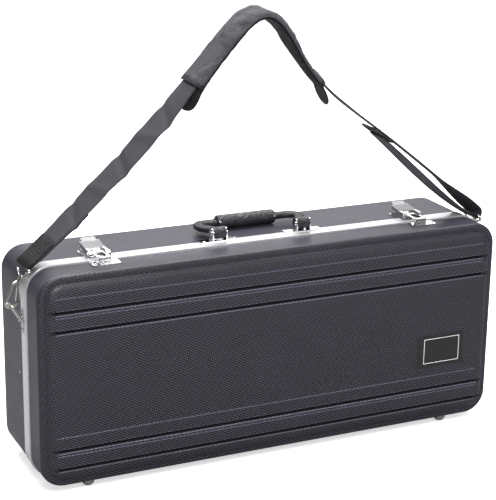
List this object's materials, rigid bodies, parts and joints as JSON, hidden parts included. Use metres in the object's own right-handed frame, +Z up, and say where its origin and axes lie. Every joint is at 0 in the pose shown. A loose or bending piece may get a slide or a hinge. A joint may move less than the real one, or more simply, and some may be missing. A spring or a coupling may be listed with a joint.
{
  "type": "clarinet case",
  "caption": "Hard rectangular instrument case with a framed hinged lid, grooved faces, draw latches, a swinging handle and a padded shoulder strap on snap hooks; wells inside.",
  "frame": {"origin": "under the middle of the case on the surface its feet stand on", "axes": "+X along the case's length, -Y out of the lid's front face, +Z up"},
  "size_m": [0.7673, 0.184, 0.6437],
  "materials": {
    "shell": "fine leather grain, formed sheet",
    "frame_metal": "bright drawn extrusion",
    "badge": "smooth, bare",
    "foam": "short plush over moulded foam",
    "webbing": "flat woven webbing",
    "pad": "padded, stitched edge",
    "grip": "moulded grip",
    "black_metal": "black coated bar",
    "plated_steel": "nickel plated"
  },
  "bodies": {
    "base": {"accessory_shelf": "foam", "base_feet": "plated_steel", "base_frame": "frame_metal", "base_hinge_leaves": "plated_steel", "base_hinge_rivets": "plated_steel", "base_insert": "foam", "base_shell": "shell", "bell_divider": "foam", "end_rivets": "plated_steel", "handle_bracket_left": "plated_steel", "handle_bracket_right": "plated_steel", "handle_bracket_rivets": "plated_steel", "handle_pins": "plated_steel", "hinge_pins": "plated_steel", "insert_bed": "foam", "latch_base_left": "plated_steel", "latch_base_right": "plated_steel", "latch_base_rivets": "plated_steel", "latch_pivots_left": "plated_steel", "latch_pivots_right": "plated_steel", "neck_divider": "foam", "ring_bracket_left": "plated_steel", "ring_bracket_right": "plated_steel", "ring_bracket_rivets": "plated_steel", "row_divider": "foam"},
    "lid": {"lid_shell": "shell", "lid_frame": "frame_metal", "badge_plate": "badge", "lid_pad": "foam", "lid_hinge_leaves": "plated_steel", "lid_hinge_rivets": "plated_steel", "lid_feet": "plated_steel", "catch_plate_rivets": "plated_steel", "latch_catch_left": "plated_steel", "latch_catch_right": "plated_steel"},
    "handle": {"handle_core": "black_metal", "handle_grip": "grip"},
    "strap": {"strap_webbing": "webbing", "strap_adjuster": "plated_steel", "shoulder_pad": "pad", "strap_eye_left": "plated_steel", "strap_eye_right": "plated_steel"},
    "lever_left": {"latch_lever_left": "plated_steel", "latch_hook_pin_left": "plated_steel"},
    "hook_left": {"latch_hook_left": "plated_steel"},
    "ring_left": {"strap_ring_left": "plated_steel"},
    "snap_left": {"snap_hook_left": "plated_steel", "gate_pin_left": "plated_steel"},
    "gate_left": {"snap_gate_left": "plated_steel"},
    "lever_right": {"latch_lever_right": "plated_steel", "latch_hook_pin_right": "plated_steel"},
    "hook_right": {"latch_hook_right": "plated_steel"},
    "ring_right": {"strap_ring_right": "plated_steel"},
    "snap_right": {"snap_hook_right": "plated_steel", "gate_pin_right": "plated_steel"},
    "gate_right": {"snap_gate_right": "plated_steel"}
  },
  "joints": [
    {"name": "lid_hinge", "type": "hinge", "parent": "base", "child": "lid", "pos_m": [0, -0.0298, 0.0063], "axis": [1, 0, 0], "range_deg": [0, 105]},
    {"name": "handle_swing", "type": "hinge", "parent": "base", "child": "handle", "pos_m": [0, -0.016, 0.3272], "axis": [1, 0, 0], "range_deg": [0, 105]},
    {"name": "strap_swing", "type": "hinge", "parent": "base", "child": "strap", "pos_m": [0, -0.022, 0.26213], "axis": [1, 0, 0], "range_deg": [-10, 10]},
    {"name": "lever_left_swing", "type": "hinge", "parent": "base", "child": "lever_left", "pos_m": [-0.249, -0.0223, 0.3205], "axis": [1, 0, 0], "range_deg": [0, 85]},
    {"name": "hook_left_turn", "type": "hinge", "parent": "lever_left", "child": "hook_left", "pos_m": [-0.249, -0.01339, 0.31925], "axis": [1, 0, 0], "range_deg": [-85, 0]},
    {"name": "ring_left_swing", "type": "hinge", "parent": "base", "child": "ring_left", "pos_m": [-0.36075, -0.022, 0.2375], "axis": [0, -1, 0], "range_deg": [-5, 0]},
    {"name": "snap_left_swivel", "type": "hinge", "parent": "strap", "child": "snap_left", "pos_m": [-0.36088, -0.022, 0.29698], "axis": [0.3907, 0, 0.9205], "range_deg": [-10, 10]},
    {"name": "gate_left_swing", "type": "hinge", "parent": "snap_left", "child": "gate_left", "pos_m": [-0.36262, -0.022, 0.28902], "axis": [0, 1, 0], "range_deg": [0, 20]},
    {"name": "lever_right_swing", "type": "hinge", "parent": "base", "child": "lever_right", "pos_m": [0.249, -0.0223, 0.3205], "axis": [1, 0, 0], "range_deg": [0, 85]},
    {"name": "hook_right_turn", "type": "hinge", "parent": "lever_right", "child": "hook_right", "pos_m": [0.249, -0.01339, 0.31925], "axis": [1, 0, 0], "range_deg": [-85, 0]},
    {"name": "ring_right_swing", "type": "hinge", "parent": "base", "child": "ring_right", "pos_m": [0.36075, -0.022, 0.2375], "axis": [0, 1, 0], "range_deg": [-5, 0]},
    {"name": "snap_right_swivel", "type": "hinge", "parent": "strap", "child": "snap_right", "pos_m": [0.36088, -0.022, 0.29698], "axis": [-0.3907, 0, 0.9205], "range_deg": [-10, 10]},
    {"name": "gate_right_swing", "type": "hinge", "parent": "snap_right", "child": "gate_right", "pos_m": [0.36262, -0.022, 0.28902], "axis": [0, -1, 0], "range_deg": [0, 20]}
  ],
  "couplings": [
    {"joint": "hook_left_turn", "follows": "lever_left_swing", "ratio": -1},
    {"joint": "hook_right_turn", "follows": "lever_right_swing", "ratio": -1}
  ]
}
